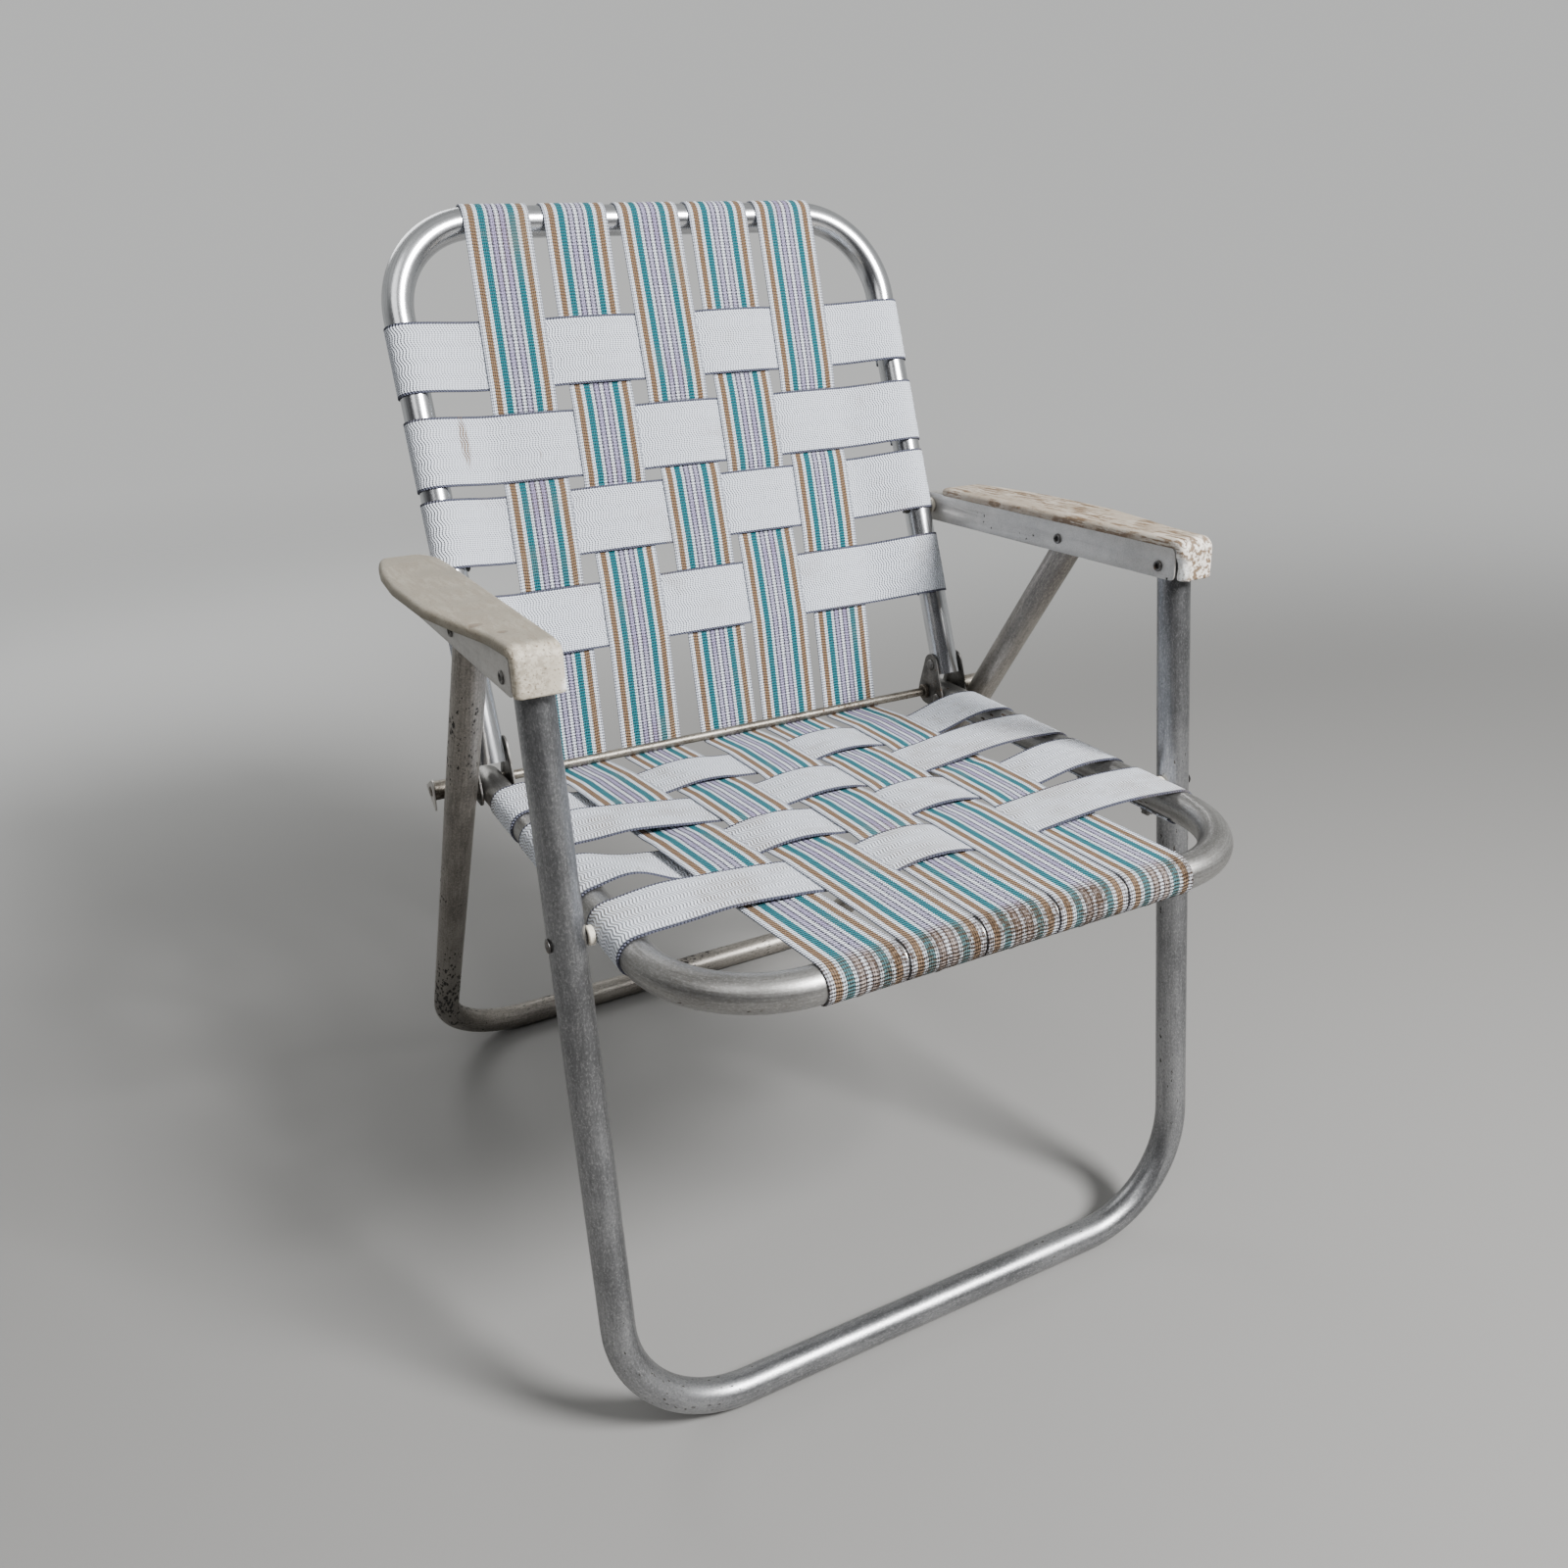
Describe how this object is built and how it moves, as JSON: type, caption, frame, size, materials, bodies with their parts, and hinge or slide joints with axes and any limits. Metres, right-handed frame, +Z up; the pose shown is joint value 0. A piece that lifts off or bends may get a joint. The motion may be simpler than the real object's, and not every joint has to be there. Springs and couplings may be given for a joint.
{
  "type": "folding webbed lawn chair",
  "caption": "Folding lawn chair with a bent aluminium tube frame, woven webbing seat and back, and plastic arm pads; seat, back, legs and arms fold flat together.",
  "frame": {"origin": "on the floor, under the middle of the open chair's footprint", "axes": "+Z up, the sitter faces -Y, +X to the right of someone who looks at the chair from the front"},
  "size_m": [0.599, 0.6913, 0.8515],
  "materials": {
    "polished_tube": "bright polished tube",
    "weathered_tube": "grey mottled tube",
    "pitted_tube": "dull pitted tube",
    "sheet_aluminium": "matte sheet",
    "dark_steel": "dark weathered steel",
    "bright_steel": "plated steel",
    "cream_plastic": "weathered cream moulding",
    "nylon": "natural nylon",
    "striped_webbing": "striped woven webbing",
    "white_webbing": "white woven webbing"
  },
  "bodies": {
    "back": {"back_frame": "polished_tube", "back_long_strap_1": "striped_webbing", "back_long_strap_2": "striped_webbing", "back_long_strap_3": "striped_webbing", "back_long_strap_4": "striped_webbing", "back_long_strap_5": "striped_webbing", "back_cross_strap_1": "white_webbing", "back_cross_strap_2": "white_webbing", "back_cross_strap_3": "white_webbing", "back_cross_strap_4": "white_webbing"},
    "seat": {"seat_frame": "weathered_tube", "seat_long_strap_1": "striped_webbing", "seat_long_strap_2": "striped_webbing", "seat_long_strap_3": "striped_webbing", "seat_long_strap_4": "striped_webbing", "seat_long_strap_5": "striped_webbing", "seat_cross_strap_1": "white_webbing", "seat_cross_strap_2": "white_webbing", "seat_cross_strap_3": "white_webbing", "seat_cross_strap_4": "white_webbing", "hinge_plate_inner_left": "dark_steel", "hinge_plate_inner_right": "dark_steel", "hinge_plate_outer_left": "dark_steel", "hinge_plate_outer_right": "dark_steel", "hinge_pivot_rivet_left": "dark_steel", "hinge_pivot_rivet_right": "dark_steel", "hinge_rail_rivet_left": "dark_steel", "hinge_rail_rivet_right": "dark_steel", "crease_rod": "bright_steel", "rod_collar_left": "bright_steel", "rod_collar_right": "bright_steel", "rear_leg_stop_left": "sheet_aluminium", "rear_leg_stop_right": "sheet_aluminium", "rod_end_clip_left": "sheet_aluminium", "rod_end_clip_right": "sheet_aluminium", "seat_pivot_rivet_left": "bright_steel", "seat_pivot_rivet_right": "bright_steel", "seat_pivot_spacer_left": "nylon", "seat_pivot_spacer_right": "nylon"},
    "front_leg": {"front_leg": "weathered_tube"},
    "rear_leg": {"rear_leg": "pitted_tube"},
    "arm_left": {"arm_channel_left": "sheet_aluminium", "arm_pad_left": "cream_plastic", "arm_front_rivet_left": "dark_steel", "arm_middle_rivet_left": "dark_steel", "arm_rear_rivet_left": "dark_steel", "arm_rear_washer_left": "nylon"},
    "arm_right": {"arm_channel_right": "sheet_aluminium", "arm_pad_right": "cream_plastic", "arm_front_rivet_right": "dark_steel", "arm_middle_rivet_right": "dark_steel", "arm_rear_rivet_right": "dark_steel", "arm_rear_washer_right": "nylon"}
  },
  "joints": [
    {"name": "fold", "type": "hinge", "parent": "back", "child": "seat", "pos_m": [0, 0.0796, 0.435], "axis": [-1, 0, 0], "range_deg": [0, 93]},
    {"name": "front_leg_pivot", "type": "hinge", "parent": "seat", "child": "front_leg", "pos_m": [0, -0.2047, 0.406], "axis": [-1, 0, 0], "range_deg": [-83.5, 0]},
    {"name": "arm_left_pivot", "type": "hinge", "parent": "back", "child": "arm_left", "pos_m": [-0.2595, 0.1299, 0.5784], "axis": [-1, 0, 0], "range_deg": [0, 87.6]},
    {"name": "arm_right_pivot", "type": "hinge", "parent": "back", "child": "arm_right", "pos_m": [0.2595, 0.1299, 0.5784], "axis": [-1, 0, 0], "range_deg": [0, 87.6]},
    {"name": "rear_leg_pivot", "type": "hinge", "parent": "arm_left", "child": "rear_leg", "pos_m": [0, -0.0599, 0.58011], "axis": [-1, 0, 0], "range_deg": [-34.8, 0]}
  ],
  "couplings": [
    {"joint": "front_leg_pivot", "follows": "fold", "ratio": -0.8939},
    {"joint": "arm_left_pivot", "follows": "fold", "ratio": 0.9408},
    {"joint": "arm_right_pivot", "follows": "fold", "ratio": 0.9408},
    {"joint": "rear_leg_pivot", "follows": "fold", "ratio": -0.3724}
  ]
}
